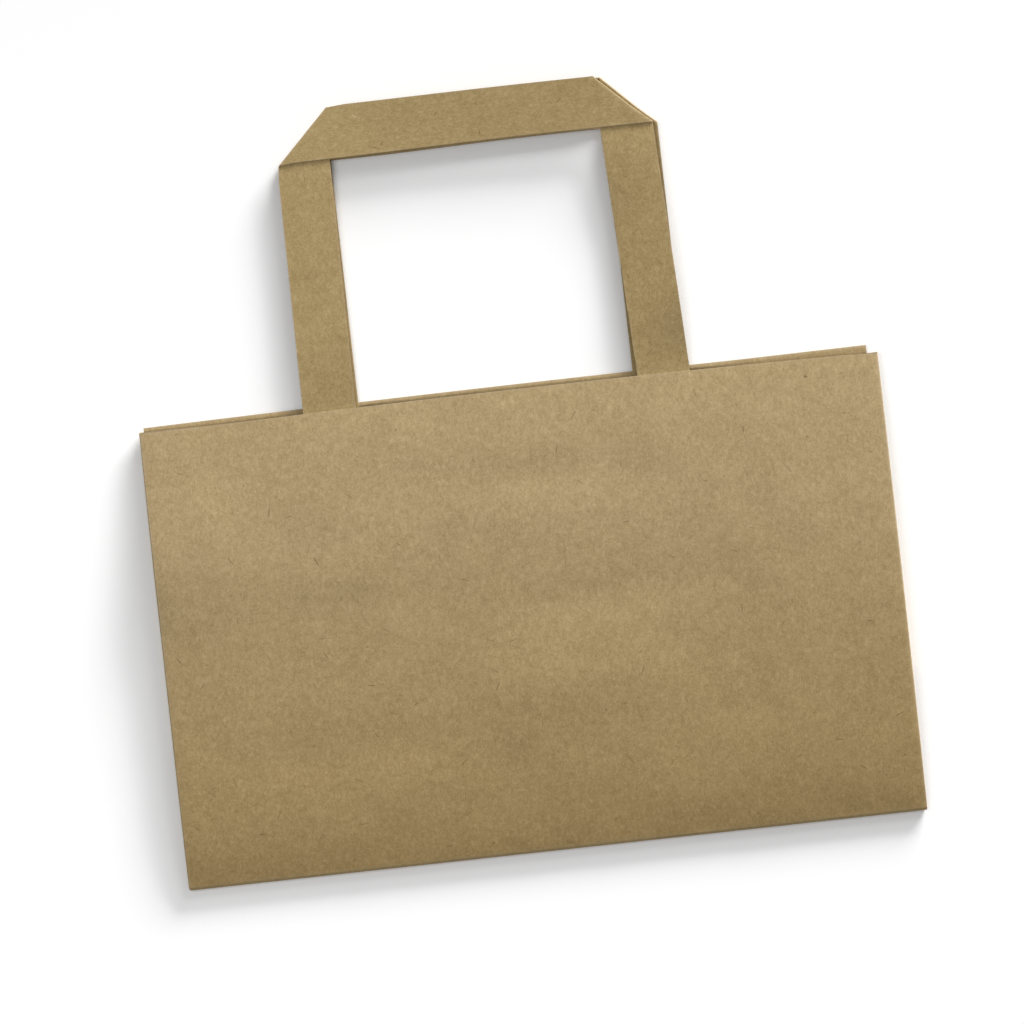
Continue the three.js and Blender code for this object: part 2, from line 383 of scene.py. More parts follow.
# %% Fold builder
ARC_STEPS = 8
ROLLED, PRESSED_FLAT = 1.0, 0.5  # powers of an arc's sine and cosine
UP = Vector((0, 0, 1))


def along_crease(verts, start, end):
    """The vertices that lie on the crease, in order from its start to its end."""
    direction = Vector(end) - Vector(start)
    length = direction.length
    direction.normalize()
    found = []
    for vert in verts:
        offset = vert.co.xy - Vector(start)
        t = offset.dot(direction)
        if abs(offset.cross(direction)) < SAME_PLACE and -SAME_PLACE < t < length + SAME_PLACE:
            found.append((t, vert))
    return [vert for _, vert in sorted(found, key=lambda item: item[0])]


def fold(piece, upper, lower, start, end, reach=None, power=PRESSED_FLAT):
    """Joins two panels round a crease, standing out to the left of start to end, and returns its arcs."""
    tops, lows = along_crease(upper, start, end), along_crease(lower, start, end)
    if len(tops) != len(lows):
        raise ValueError(f"crease {start} to {end}: {len(tops)} points meet {len(lows)}")
    run = (Vector(end) - Vector(start)).normalized()
    outward = Vector((-run.y, run.x, 0))
    wear, turned = piece.verts.layers.float["wear"], piece.verts.layers.float["turned"]
    arcs = []
    for top, low in zip(tops, lows):
        middle = (top.co + low.co) / 2
        rise = (top.co.z - low.co.z) / 2
        out = min(rise, SIDE_REACH) if reach is None else reach
        arc = [top]
        for step in range(1, ARC_STEPS):
            angle = math.pi / 2 - math.pi * step / ARC_STEPS
            across = math.cos(angle) ** power
            upwards = math.copysign(abs(math.sin(angle)) ** power, angle)
            arc.append(piece.verts.new(middle + outward * out * across + UP * rise * upwards))
            arc[-1][wear] = 1.0
            arc[-1][turned] = top[turned]
        arcs.append(arc + [low])
    for one, other in zip(arcs, arcs[1:]):
        for i in range(ARC_STEPS):
            piece.faces.new((one[i], other[i], other[i + 1], one[i + 1]))
    return arcs


print(f"a fold has {ARC_STEPS} facets round its bend")

# %% [markdown]
# ## From thin surface to paper
#
# The panels and folds form one thin surface. `Solidify` gives it the thickness of the paper. Thin paper gets
# its really sharp edges, the cut ones, marked, so the rest can be shaded smooth. Thicker tape gets `Bevel`
# for its rounded edges, and `Weighted Normal` keeps the flat stretches beside them evenly shaded.

# %% Turn a surface into a piece of paper
SHARP = math.radians(40)
EDGE_SEGMENTS = 2


def round_edges(piece, edge_round):
    rounding = piece.modifiers.new("rounded edges", "BEVEL")
    rounding.width = edge_round * MM
    rounding.segments = EDGE_SEGMENTS
    rounding.limit_method = "ANGLE"
    rounding.angle_limit = SHARP
    piece.modifiers.new("even shading", "WEIGHTED_NORMAL")


def paper_piece(name, surface, thickness, edge_round=0.0):
    bmesh.ops.recalc_face_normals(surface, faces=surface.faces)
    bmesh.ops.scale(surface, vec=(MM, MM, MM), verts=surface.verts)
    mesh = bpy.data.meshes.new(name)
    surface.to_mesh(mesh)
    surface.free()
    mesh.shade_smooth()
    piece = bpy.data.objects.new(name, mesh)
    bpy.context.scene.collection.objects.link(piece)
    body = piece.modifiers.new("thickness", "SOLIDIFY")
    body.thickness = thickness * MM
    body.offset = 0.0
    if edge_round:
        round_edges(piece, edge_round)
    depsgraph = bpy.context.evaluated_depsgraph_get()
    finished = bpy.data.meshes.new_from_object(piece.evaluated_get(depsgraph))
    piece.modifiers.clear()
    piece.data = finished
    bpy.data.meshes.remove(mesh)
    finished.name = name
    if not edge_round:
        finished.set_sharp_from_angle(angle=SHARP)
    print(f"{name}: {len(finished.polygons)} faces")
    return piece


print(f"edges sharper than {math.degrees(SHARP):.0f} degrees stay sharp")

# %% [markdown]
# ## The bag: shape of the mouth
#
# A narrow strip of the back panel shows above the front one. It curls up a little, more so where the mouth
# gapes beside a leg, and its very edge rolls back, so it shows a shaded line under a light rim. The cut edges
# of both panels are bowed up in the middle, the front panel's more than the back panel's.

# %% Bows and curl at the mouth
RIM_CURL = {-1: 0.17, 1: 0.08}  # rise of the back panel's strip at the mouth, left and right
RIM_GAPE = 0.5  # the same beside a leg, on its right
GAPE_LENGTH = 6.0
RIM_CURL_START, RIM_CURL_END = -0.5, 1.1  # from the front panel's cut edge upwards
RIM_ROLL = 0.10  # drop of the very edge
RIM_ROLL_WIDTH = 1.6
RIM_BOW = 0.55  # rise of the back panel's cut edge
RIM_BOW_AT = -30.0  # x of its highest place
RIM_BOW_HALF_WIDTH = 128.0
MOUTH_BOW = 1.6  # rise of the front panel's cut edge
MOUTH_BOW_AT = 25.0  # x of its highest place
MOUTH_BOW_HALF_WIDTH = 158.0
MOUTH_BOW_FADE = 14.0  # it ends within this distance of the side folds
leg_right_edges = [middle + TAPE_WIDTH / 2 for middle in leg_middles]


def from_left_to_right(values, x):
    """A value that changes evenly from the left side fold to the right one."""
    return values[-1] + (values[1] - values[-1]) * (x + half) / (2 * half)


def back_rim(x):
    """Cut edge of the back panel, which runs slightly askew to the front panel's."""
    return mouth + from_left_to_right(BACK_RISE, x)


def mouth_bow(x, y):
    crown = max(0.0, 1 - ((x - MOUTH_BOW_AT) / MOUTH_BOW_HALF_WIDTH) ** 2)
    return MOUTH_BOW * crown * smooth(0.0, MOUTH_BOW_FADE, half - abs(x)) * past_base(y)


def rim_bow(x, y):
    crown = max(0.0, 1 - ((x - RIM_BOW_AT) / RIM_BOW_HALF_WIDTH) ** 2)
    return RIM_BOW * crown * past_base(y)


def rim_curl(x, y):
    beside = [x - edge for edge in leg_right_edges if x > edge]
    gape = math.exp(-min(beside) / GAPE_LENGTH) if beside else 0.0
    curl = from_left_to_right(RIM_CURL, x)
    rise = curl + (RIM_GAPE - curl) * gape
    above = y + rim_bow(x, y) - mouth - mouth_bow(x, mouth)
    roll = max(0.0, 1 - (back_rim(x) - y) / RIM_ROLL_WIDTH) ** 2
    return rise * smooth(RIM_CURL_START, RIM_CURL_END, above) - RIM_ROLL * roll


print(f"in the middle the back panel stands {back_rim(0) - mouth:.1f} mm above the front one")

# %% [markdown]
# ## The bag: front panel, back panel and base flaps
#
# The back panel is made of the sheet's two ends, glued over each other. The right end lies outside, and the
# left end climbs over it by one thickness of paper, inside the bag. Its cut edge shows as a small tick at the
# mouth. Round the bottom fold and round the heel of the base the same sheet goes on as the base flaps.

# %% Panels that span the width
SEAM_CLIMB = 5.0  # length over which the left end climbs on to the right one
bag = new_piece()


def laid_at(layer, climb=0.0):
    """Height of a layer over the bag; climb lifts the left end of the seam over the right one."""

    def height(x, y):
        lap = climb * PAPER * smooth(SEAM[0] - SEAM_CLIMB, SEAM[0], x)
        return settled(x, y, heights[layer]) + lap

    return height


def back_height(climb):
    flat = laid_at("back", climb)
    return lambda x, y: flat(x, y) + rim_curl(x, y)


def back_edge(side, y):
    """Side crease of the back panel, which draws in towards the mouth."""
    return side * (half - BACK_INSET[side] * (y - tuck) / (gusset_top - tuck))


front_outline = [(-half, bottom), (half, bottom), (half, mouth), (-half, mouth)]
front = lay_panel(bag, front_outline, sheet_lines, laid_at("front"))
for vert in front:
    vert.co.y += mouth_bow(vert.co.x, vert.co.y)
flap_high = bottom + FLAP_LENGTH
front_flap_outline = [(-half, bottom), (half, bottom), (flap_end, flap_high), (-flap_end, flap_high)]
front_flap = lay_panel(bag, front_flap_outline, sheet_lines, laid_at("front_flap"))
fold(bag, front, front_flap, (half, bottom), (-half, bottom), BOTTOM_REACH, ROLLED)

backs, heels, back_flaps = {}, {}, {}
flap_low = heel - FLAP_LENGTH
for side, cut in ((-1, SEAM[1]), (1, SEAM[0])):
    up, down = (1.0, -1.0) if side < 0 else (0.0, 0.0)
    corner_y = mouth + BACK_RISE[side]
    corner = (back_edge(side, corner_y), corner_y)
    back_outline = [(cut, tuck), (side * half, tuck), corner, (cut, back_rim(cut))]
    heel_outline = [(cut, tuck), (side * half, tuck), (side * half, heel), (cut, heel)]
    flap_outline = [(cut, heel), (side * half, heel), (side * flap_end, flap_low), (cut, flap_low)]
    backs[side] = lay_panel(bag, back_outline, sheet_lines, back_height(up))
    for vert in backs[side]:
        vert.co.y += rim_bow(vert.co.x, vert.co.y)
    heels[side] = lay_panel(bag, heel_outline, sheet_lines, laid_at("back_heel", down))
    back_flaps[side] = lay_panel(bag, flap_outline, sheet_lines, laid_at("back_flap", up))
    ends = [side * half, cut] if side > 0 else [cut, side * half]
    fold(bag, backs[side], heels[side], (ends[0], tuck), (ends[1], tuck))
    fold(bag, heels[side], back_flaps[side], (ends[1], heel), (ends[0], heel))
print(f"wide panels: {len(bag.faces)} faces")

# %% [markdown]
# ## The bag: side walls
#
# Each side wall folds in half inwards along its gusset, and its lower part folds into triangles so that the
# base can turn up against the back. The points are written for the right side, and the left one mirrors them.

# %% Gussets, triangles and corners of both sides


def rising_edge(arcs, gusset_edge):
    """Carries the cut edge round a side fold, from the front panel's level up to the gusset's."""
    arc = max(arcs, key=lambda points: points[0].co.y)
    raised = [arc[0]]
    for i, vert in enumerate(arc[1:-1], 1):
        share = min(1.0, 2 * i / ARC_STEPS)
        raised.append(bag.verts.new(vert.co + Vector((0, GUSSET_RISE * share, 0))))
    raised.append(gusset_edge[-1])
    bag.faces.new((arc[0], arc[1], raised[1]))
    for i in range(1, ARC_STEPS - 1):
        bag.faces.new((arc[i], arc[i + 1], raised[i + 1], raised[i]))
    bag.faces.new((arc[-2], *gusset_edge, raised[-2]))


def side_wall(side):
    def mirrored(points):
        return [(side * x, y) for x, y in points]

    def panel(outline, layer):
        return lay_panel(bag, mirrored(outline), sheet_lines, laid_at(layer))

    def crease(upper, lower, start, end, reach=None):
        ends = mirrored([start, end] if side > 0 else [end, start])
        return fold(bag, upper, lower, *ends, reach)

    back_top, inner_top = (side * back_edge(side, gusset_top), gusset_top), (inner, gusset_top)
    corner, base_corner, side_fold, point = (half, bottom), (half, heel), (half, tuck), (inner, tuck)
    front_end, back_end = (flap_end, bottom), (flap_end, heel)
    front_tip, back_tip = (flap_end, flap_high), (flap_end, flap_low)
    gusset_front = panel([corner, (half, gusset_top), inner_top, point], "gusset_front")
    gusset_back = panel([side_fold, back_top, inner_top, point], "gusset_back")
    side_heel = panel([side_fold, base_corner, point], "side_heel")
    side_floor = panel([corner, base_corner, point], "side_floor")
    side_flap = panel([front_end, corner, base_corner, back_end], "side_flap")
    back_corner = panel([base_corner, back_end, back_tip], "back_corner")
    front_corner = panel([corner, front_tip, front_end], "front_corner")
    side_arcs = crease(front, gusset_front, (half, mouth), corner, SIDE_REACH)
    rising_edge(side_arcs, along_crease(gusset_front, *mirrored([(half, mouth), (half, gusset_top)])))
    crease(gusset_front, gusset_back, point, inner_top)
    crease(gusset_back, backs[side], back_top, side_fold, SIDE_REACH)
    crease(gusset_back, side_heel, side_fold, point)
    crease(heels[side], side_heel, base_corner, side_fold)
    crease(side_heel, side_floor, point, base_corner)
    crease(gusset_front, side_floor, corner, point)
    crease(side_floor, side_flap, base_corner, corner)
    crease(side_flap, front_corner, corner, front_end)
    crease(side_flap, back_corner, back_end, base_corner)
    crease(front_corner, front_flap, front_tip, corner)
    crease(back_corner, back_flaps[side], base_corner, back_tip)


for side in (-1, 1):
    side_wall(side)
print(f"whole sheet: {len(bag.faces)} faces")

# %% [markdown]
# ## The bag: corners
#
# Where several creases meet in a corner, the ends of their folds leave a small hole, as a real crease leaves
# a bruised spot. Each hole is filled and its face is poked into a fan. The big loops, which are the cut edges
# of the sheet, have far more sides than a corner, so they stay open. The tips of the two bottom corners are
# drawn out, because the folds there end in a square corner.

# %% Close the corners and give the sheet its thickness
CORNER_SIDES = 8 * ARC_STEPS  # the most that the hole at a corner can have
CORNER_TIP = 0.85  # of the reach of the folds that meet in a bottom corner
filled = bmesh.ops.holes_fill(bag, edges=bag.edges[:], sides=CORNER_SIDES)["faces"]
tips = bmesh.ops.poke(bag, faces=filled)["verts"]
for tip in tips:
    if abs(tip.co.x) > half - BOTTOM_REACH and tip.co.y < bottom + BOTTOM_REACH:
        tip.co.x = math.copysign(half + CORNER_TIP * SIDE_REACH, tip.co.x)
        tip.co.y = bottom - CORNER_TIP * BOTTOM_REACH
print(f"{len(tips)} corners closed")
bag_sheet = paper_piece("bag_sheet", bag, PAPER)

# %% [markdown]
# ## The handles: their legs
#
# A handle is one strip of tape: up a leg, over a 45 degree fold into the bar, over another fold and down the
# other leg. The whole strip follows from its two legs. Each leg runs from its foot under the patch to the top
# of the bar, where the 45 degree fold cuts it off.

# %% Outline of a leg
bar_tops = {name: box_mm(f"{name}_handle")[1].y for name in HANDLES}


def leg_outline(name, side):
    """Foot outside, foot inside, corner inside and corner outside of one leg."""
    spec, bar_top = HANDLES[name], bar_tops[name]
    foot = Vector((spec["foot_centre"] + side * spec["foot_spread"] / 2, mouth))
    corner = Vector((spec["bar_centre"] + side * spec["bar_spread"] / 2, bar_top - TAPE_WIDTH))
    run = (corner - foot).normalized()
    across = Vector((-side * run.y, side * run.x))
    foot_outer = foot + run * (foot_end - mouth)
    foot_inner = foot_outer + across * TAPE_WIDTH
    corner_inner = foot_inner + run * ((bar_top - foot_inner.y) / run.y)
    return [tuple(p) for p in (foot_outer, foot_inner, corner_inner, corner)]


print("tops of the bars at y", {name: round(top, 1) for name, top in bar_tops.items()})

# %% [markdown]
# ## The handles: how they lie
#
# Past the mouth the front handle springs up a little and the back one lies down. The front handle rises
# towards its right leg, which leans inwards, and its bar is tilted with the upper edge raised. All legs have
# a low hump where they come out of the mouth, and the back handle's outer edge curls up on the right.

# %% Height along a handle
HANDLE_SHARE = 0.8  # of the loose height, at the bar
FREE_LENGTH = 45.0  # past the mouth, over which a handle finds its own level
SPRING = {"front": 0.3, "back": -0.25}  # rise of the bar over the level of the feet
RISE = {"front": 1.5, "back": 0.0}  # of the right end of the bar over its left end
LEAN = {"front": 1.5, "back": 0.0}  # drop of the right leg's inner edge below its outer one
LEAN_GROWS, LEAN_FADES = 40.0, 45.0  # past the mouth and below the bar
HUMP, HUMP_AT, HUMP_LENGTH = 0.3, 24.0, 16.0  # of the legs: rise, distance past the mouth and half length
TILT = {"front": 0.8, "back": 0.0}  # rise of the bar's upper edge over its lower one
TILT_FROM, TILT_TO = -70.0, -10.0  # x where the tilt starts and is full
EDGE_CURL = {"front": 0.0, "back": 0.25}  # rise of the outer edge on the right
EDGE_CURL_FLAT, EDGE_CURL_WIDTH = 0.8, 1.6  # from the edge, where that rise is full and where it ends


def handle_height(name, level, lean=0.0):
    """Height of a bar or a leg; lean is how far a right leg's inner edge drops."""
    bar_top = bar_tops[name]
    bar_low = bar_top - TAPE_WIDTH
    free = level if level <= pressed_top else pressed_top + (level - pressed_top) * HANDLE_SHARE
    left_end, right_leg = leg_outline(name, -1)[3][0], leg_outline(name, 1)
    outer_edge, corner_fold = (right_leg[0], right_leg[3]), right_leg[2:]

    def height(x, y):
        past = smooth(0.0, FREE_LENGTH, y - mouth)
        lying = settled(x, min(y, mouth), level) * (1 - past) + (free - MOUTH_SAG) * past
        out = max(y - mouth, 0.0) / (bar_top - mouth)
        grown = smooth(0.0, LEAN_GROWS, y - mouth)
        rise = RISE[name] * grown * (x - left_end) / (right_leg[3][0] - left_end)
        off_edge = line_distance(x, y, *outer_edge)
        drop = lean * off_edge / TAPE_WIDTH * grown * smooth(0.0, LEAN_FADES, bar_low - y)
        across = (y - bar_top) / TAPE_WIDTH + 0.5
        tilt = TILT[name] * max(across, -0.5) * smooth(TILT_FROM, TILT_TO, x)
        off_edge = min(off_edge, line_distance(x, y, *corner_fold))
        curl = EDGE_CURL[name] * smooth(EDGE_CURL_WIDTH, EDGE_CURL_FLAT, off_edge)
        hump = HUMP * math.exp(-(((y - mouth - HUMP_AT) / HUMP_LENGTH) ** 2))
        lying += hump + SPRING[name] * out + rise - drop
        return lying + tilt * smooth(0.0, 1.0, out) + curl * past

    return height


print(f"the bars spring by {SPRING['front']} mm in front and {SPRING['back']} mm at the back")

# %% [markdown]
# ## The handles: bends in the strip
#
# Folded tape is never quite straight. Each bar is bent a little along its length and pinched towards its
# right end, the left corner fold of the front handle is drawn in, and the left legs stand a little to one
# side. These moves are along the table, so they are made after the strip is folded.

# %% Pull a folded strip into shape
BENDS = {"front": (10.0, 45.0, 0.3), "back": (-38.0, 35.0, -0.5)}  # of a bar: x, half width and shift
PINCH = {"front": 0.7, "back": 0.8}  # rise of the bar's lower edge at its right end
PINCH_FROM, PINCH_TO = -90.0, 30.0  # x where that starts and is full
PINCH_WIDTH = 8.0
TUCK_IN = {"front": 0.8, "back": 0.0}  # how far the left corner fold is drawn in
TUCK_IN_WIDTH = 6.0
LEFT_SHIFT = {"front": (-0.9, -0.45), "back": (1.35, -0.55)}  # of the left leg along x, at foot and bar
DIAGONAL = math.sqrt(0.5)


def pull_into_shape(name, strip):
    _, _, corner_inner, corner = leg_outline(name, -1)
    bend_x, bend_width, shift = BENDS[name]
    at_foot, at_bar = LEFT_SHIFT[name]
    for vert in strip.verts:
        x, y, _ = vert.co
        out = smooth(mouth, bar_tops[name], y)
        bend = shift * math.exp(-(((x - bend_x) / bend_width) ** 2)) * out
        off_edge = abs(y - corner[1]) / PINCH_WIDTH
        pinch = PINCH[name] * smooth(PINCH_FROM, PINCH_TO, x) * max(0.0, 1 - off_edge)
        off_fold = line_distance(x, y, corner_inner, corner) / TUCK_IN_WIDTH
        drawn_in = TUCK_IN[name] * max(0.0, 1 - off_fold)
        vert.co.x += drawn_in * DIAGONAL
        vert.co.y += bend + pinch - drawn_in * DIAGONAL
        if x < corner_inner[0] and y < corner[1]:
            vert.co.x += at_foot + (at_bar - at_foot) * (y - mouth) / (corner[1] - mouth)


print("left legs move by", LEFT_SHIFT)

# %% [markdown]
# ## The handles: folding the tape
#
# The bar and both legs are cut from a finer grid of their own, laid, and joined by the two corner folds. On
# the front handle the bar lies in front of its legs, and on the back handle behind them.

# %% Both handles
TAPE_GAP = 0.03  # air between a bar and the legs it is folded over
TAPE_CREASE = 0.0  # the corner folds are pressed sharp, so they don't stand out past their creases
TAPE_GRID = 0.8
TAPE_ROUND = 0.12


def tape_handle(name, step):
    """The handle of one panel; its bar lies one step above its legs, or below for -1."""
    left, right = leg_outline(name, -1), leg_outline(name, 1)
    bar = [left[3], right[3], right[2], left[2]]
    xs, ys = zip(*left, *right)
    lines = (
        grid_lines({*xs}, min(xs), max(xs), TAPE_GRID),
        grid_lines({*ys, mouth}, min(ys), max(ys), TAPE_GRID),
    )
    legs = heights[f"{name}_legs"]
    bar_level = legs + step * (TAPE + TAPE_GAP)
    strip = new_piece()
    laid_bar = lay_panel(strip, bar, lines, handle_height(name, bar_level), web_turned=1.0)
    for leg, start, end, lean in ((left, left[3], left[2], 0.0), (right, right[2], right[3], LEAN[name])):
        laid_leg = lay_panel(strip, leg, lines, handle_height(name, legs, lean))
        upper, lower = (laid_bar, laid_leg) if step > 0 else (laid_leg, laid_bar)
        fold(strip, upper, lower, start, end, TAPE_CREASE)
    pull_into_shape(name, strip)
    return strip


front_handle = paper_piece("front_tape_handle", tape_handle("front", 1), TAPE, TAPE_ROUND)
back_handle = paper_piece("back_tape_handle", tape_handle("back", -1), TAPE, TAPE_ROUND)

# %% [markdown]
# ## Patches over the feet
#
# Inside the mouth a strip of the same kraft paper is glued over both feet of each handle. It settles with the
# layers around it.

# %% Patches


def patch_paper(name):
    left = leg_outline(name, -1)[0][0] - PATCH_MARGIN
    right = leg_outline(name, 1)[0][0] + PATCH_MARGIN
    high = mouth - PATCH_DROP
    low = high - PATCH_HEIGHT
    outline = [(left, low), (right, low), (right, high), (left, high)]
    lines = (grid_lines({left, right}, left, right), grid_lines({low, high}, low, high))
    strip = new_piece()
    lay_panel(strip, outline, lines, laid_at(f"{name}_patch"))
    return paper_piece(f"{name}_patch_paper", strip, PAPER)


front_patch = patch_paper("front")
back_patch = patch_paper("back")

# %% [markdown]
# ## Kraft paper
#
# Kraft is unbleached: light brown, matt, and full of fibres that lie mostly along the web it was made as.
# Close up it shows soft clouds, finer flocs, winding strands and a grain of single fibres, then a few dark or
# pale fibres, loose hairs and specks of bark. All of it is made from noise textures in object space, at the
# real sizes, with no image. A few small helpers keep the node trees readable.

# %% Node helpers


def connect(tree, value, socket):
    if isinstance(value, bpy.types.NodeSocket):
        tree.links.new(value, socket)
    else:
        socket.default_value = value


def calculate(tree, operation, *values):
    node = tree.nodes.new("ShaderNodeMath")
    node.operation = operation
    for value, socket in zip(values, node.inputs):
        connect(tree, value, socket)
    return node.outputs[0]


def calculate_vector(tree, operation, *vectors):
    node = tree.nodes.new("ShaderNodeVectorMath")
    node.operation = operation
    for vector, socket in zip(vectors, node.inputs):
        connect(tree, vector, socket)
    return node.outputs


def axes_of(tree, vector):
    node = tree.nodes.new("ShaderNodeSeparateXYZ")
    tree.links.new(vector, node.inputs[0])
    return node.outputs


def remap(tree, value, low, high, to_low, to_high):
    node = tree.nodes.new("ShaderNodeMapRange")
    for number, socket in zip((value, low, high, to_low, to_high), node.inputs):
        connect(tree, number, socket)
    return node.outputs[0]


def blend(tree, factor, one, other, kind="MIX"):
    node = tree.nodes.new("ShaderNodeMix")
    node.data_type = "RGBA"
    node.blend_type = kind
    connect(tree, factor, node.inputs[0])
    for colour, socket in zip((one, other), node.inputs[6:8]):  # the node's two colour sockets
        connect(tree, colour, socket)
    return node.outputs[2]


print("node helpers ready")

# %% [markdown]
# ## Fibres of the paper
#
# A fibre is drawn as a contour line of a noise: a thin band round its middle value is a long winding line,
# and a second noise leaves only short stretches of it.

# %% Noise and fibres
NOISE_MIDDLE = 0.5
FIBRE_PIECES = 0.45  # size of the noise that breaks fibres up, as a share of theirs
FIBRE_ENDS = 0.06  # how softly they end, as a step of that noise


def noise_of(tree, where, size, detail=2.0, roughness=0.5):
    """Noise with features of the given size in millimetres."""
    node = tree.nodes.new("ShaderNodeTexNoise")
    tree.links.new(where, node.inputs["Vector"])
    node.inputs["Scale"].default_value = 1 / (size * MM)
    node.inputs["Detail"].default_value = detail
    node.inputs["Roughness"].default_value = roughness
    return node.outputs[0]


def winding_lines(tree, where, size, detail):
    """How far a noise is from its middle value, which is nothing along winding lines."""
    swing = calculate(tree, "SUBTRACT", noise_of(tree, where, size, detail), NOISE_MIDDLE)
    return calculate(tree, "ABSOLUTE", swing)


def fibres(tree, where, size, width, keep):
    line = remap(tree, winding_lines(tree, where, size, 1.0), 0.0, width, 1.0, 0.0)
    pieces = noise_of(tree, where, FIBRE_PIECES * size, 0.0)
    stretch = remap(tree, pieces, keep, keep + FIBRE_ENDS, 0.0, 1.0)
    return calculate(tree, "MULTIPLY", line, stretch)


print("fibres ready")

# %% [markdown]
# ## Specks and hairs
#
# Both come from Voronoi cells, of which only a few are chosen by the cell's random colour. A speck is the
# middle of its cell. A hair is a short line through the middle, and the cell's colour also gives its
# direction and its length, so no two hairs are alike.

# %% Specks and hairs
SOFT_RIM = 0.4  # share of a speck's radius from which it fades
SHORTEST_HAIR = 0.25  # of the longest
HAIR_ENDS = 0.5  # share of a hair's half length from which it fades


def cells_of(tree, where, spacing, dimensions):
    node = tree.nodes.new("ShaderNodeTexVoronoi")
    node.voronoi_dimensions = dimensions
    tree.links.new(where, node.inputs["Vector"])
    node.inputs["Scale"].default_value = 1 / (spacing * MM)
    return node.outputs


def specks(tree, where, spacing, radius, keep):
    cells = cells_of(tree, where, spacing, "3D")
    rim = radius / spacing
    dot = remap(tree, cells["Distance"], SOFT_RIM * rim, rim, 1.0, 0.0)
    chosen = calculate(tree, "GREATER_THAN", cells["Color"], keep)
    return calculate(tree, "MULTIPLY", dot, chosen)


def hairs(tree, where, spacing, half_length, half_width, keep):
    cells = cells_of(tree, where, spacing, "2D")
    chance = tree.nodes.new("ShaderNodeSeparateColor")
    tree.links.new(cells["Color"], chance.inputs[0])
    choice, turn, length = chance.outputs
    turned = tree.nodes.new("ShaderNodeVectorRotate")
    turned.rotation_type = "Z_AXIS"
    off_middle = calculate_vector(tree, "SUBTRACT", where, cells["Position"])["Vector"]
    tree.links.new(off_middle, turned.inputs["Vector"])
    tree.links.new(calculate(tree, "MULTIPLY", turn, 2 * math.pi), turned.inputs["Angle"])
    x, y, _ = axes_of(tree, turned.outputs[0])
    along, across = calculate(tree, "ABSOLUTE", x), calculate(tree, "ABSOLUTE", y)
    reach = remap(tree, length, 0.0, 1.0, SHORTEST_HAIR * half_length * MM, half_length * MM)
    tapered = remap(tree, calculate(tree, "DIVIDE", along, reach), HAIR_ENDS, 1.0, 1.0, 0.0)
    thin = remap(tree, across, 0.0, half_width * MM, 1.0, 0.0)
    line = calculate(tree, "MULTIPLY", tapered, thin)
    return calculate(tree, "MULTIPLY", line, remap(tree, choice, keep, 1.0, 0.0, 1.0))


print("specks and hairs ready")

# %% [markdown]
# ## Tone of the paper
#
# The tones are added up around one, then multiplied into the paper's colour, more strongly in green and blue,
# because darker fibres are browner ones. Noise that belongs to the fibres is drawn out along the web, which
# turns with the tape where a handle is folded.

# %% Web and tone
CLOUD_SIZE, CLOUD_STRENGTH = 22.0, 0.15
FLOC_SIZE, FLOC_STRENGTH = 4.5, 0.24
KNOT_SIZE, KNOT_STRENGTH = 1.5, 0.32
STRAND_SIZE, STRAND_STRENGTH = 2.2, 0.55
STRAND_DETAIL = 2.0
STRAND_MIDDLE = 0.08  # usual value of the strands, taken off so that the tone stays around one
GRAIN_STRENGTH = 0.80
TONE_POWERS = (1.0, 1.14, 1.5)  # of the tone in red, green and blue
WEB_SQUEEZE = 0.65  # of lengths along the web


def value_of(tree, layer):
    node = tree.nodes.new("ShaderNodeAttribute")
    node.attribute_name = layer
    return node.outputs["Fac"]


def along_web(tree, where):
    """Places squeezed along the web of the paper, so that noise made from them is drawn out that way."""
    turn = tree.nodes.new("ShaderNodeMix")
    turn.data_type = "VECTOR"
    tree.links.new(value_of(tree, "turned"), turn.inputs[0])
    upright, turned = (1.0, WEB_SQUEEZE, 1.0), (WEB_SQUEEZE, 1.0, 1.0)
    for scale, socket in zip((upright, turned), turn.inputs[4:6]):  # the node's two vector sockets
        squeezed = tree.nodes.new("ShaderNodeMapping")
        squeezed.inputs["Scale"].default_value = scale
        tree.links.new(where, squeezed.inputs["Vector"])
        tree.links.new(squeezed.outputs[0], socket)
    return turn.outputs[1]


def paper_tone(tree, where, web, grain, mottle):
    tone = 1.0
    for source, usual, strength in (
        (noise_of(tree, where, CLOUD_SIZE), NOISE_MIDDLE, CLOUD_STRENGTH),
        (noise_of(tree, where, FLOC_SIZE), NOISE_MIDDLE, FLOC_STRENGTH),
        (noise_of(tree, web, KNOT_SIZE), NOISE_MIDDLE, KNOT_STRENGTH),
        (winding_lines(tree, web, STRAND_SIZE, STRAND_DETAIL), STRAND_MIDDLE, STRAND_STRENGTH),
        (grain, NOISE_MIDDLE, GRAIN_STRENGTH),
    ):
        swing = calculate(tree, "SUBTRACT", source, usual)
        tone = calculate(tree, "MULTIPLY_ADD", swing, strength * mottle, tone)
    shade = tree.nodes.new("ShaderNodeCombineColor")
    for power, socket in zip(TONE_POWERS, shade.inputs):
        tree.links.new(calculate(tree, "POWER", tone, power), socket)
    return shade.outputs[0]


print(f"fibres are {1 / WEB_SQUEEZE:.1f} times as long along the web as across it")

# %% [markdown]
# ## Marks on the paper
#
# Worn edges and folds turn paler and greyer. Towards its bottom fold the sheet gets painted shade: its colour
# is made darker and browner there. A few flecks have a place of their own: each colours a small ellipsoid of
# space, so it marks only the layer that it lies in.

# %% Wear, painted shade towards the bottom fold, and flecks
PAINTED_SHADE_COLOUR = (0.98, 0.925, 0.775, 1)  # painted shade: what is left of the paper's colour at the bottom fold, darker and browner
PAINTED_SHADE_FROM = -20.0  # y where it starts
FLECK_DEPTH = 0.5  # half height of a fleck's ellipsoid


def marked(tree, paper, mark, strength, colour):
    return blend(tree, calculate(tree, "MULTIPLY", mark, strength), paper, colour)
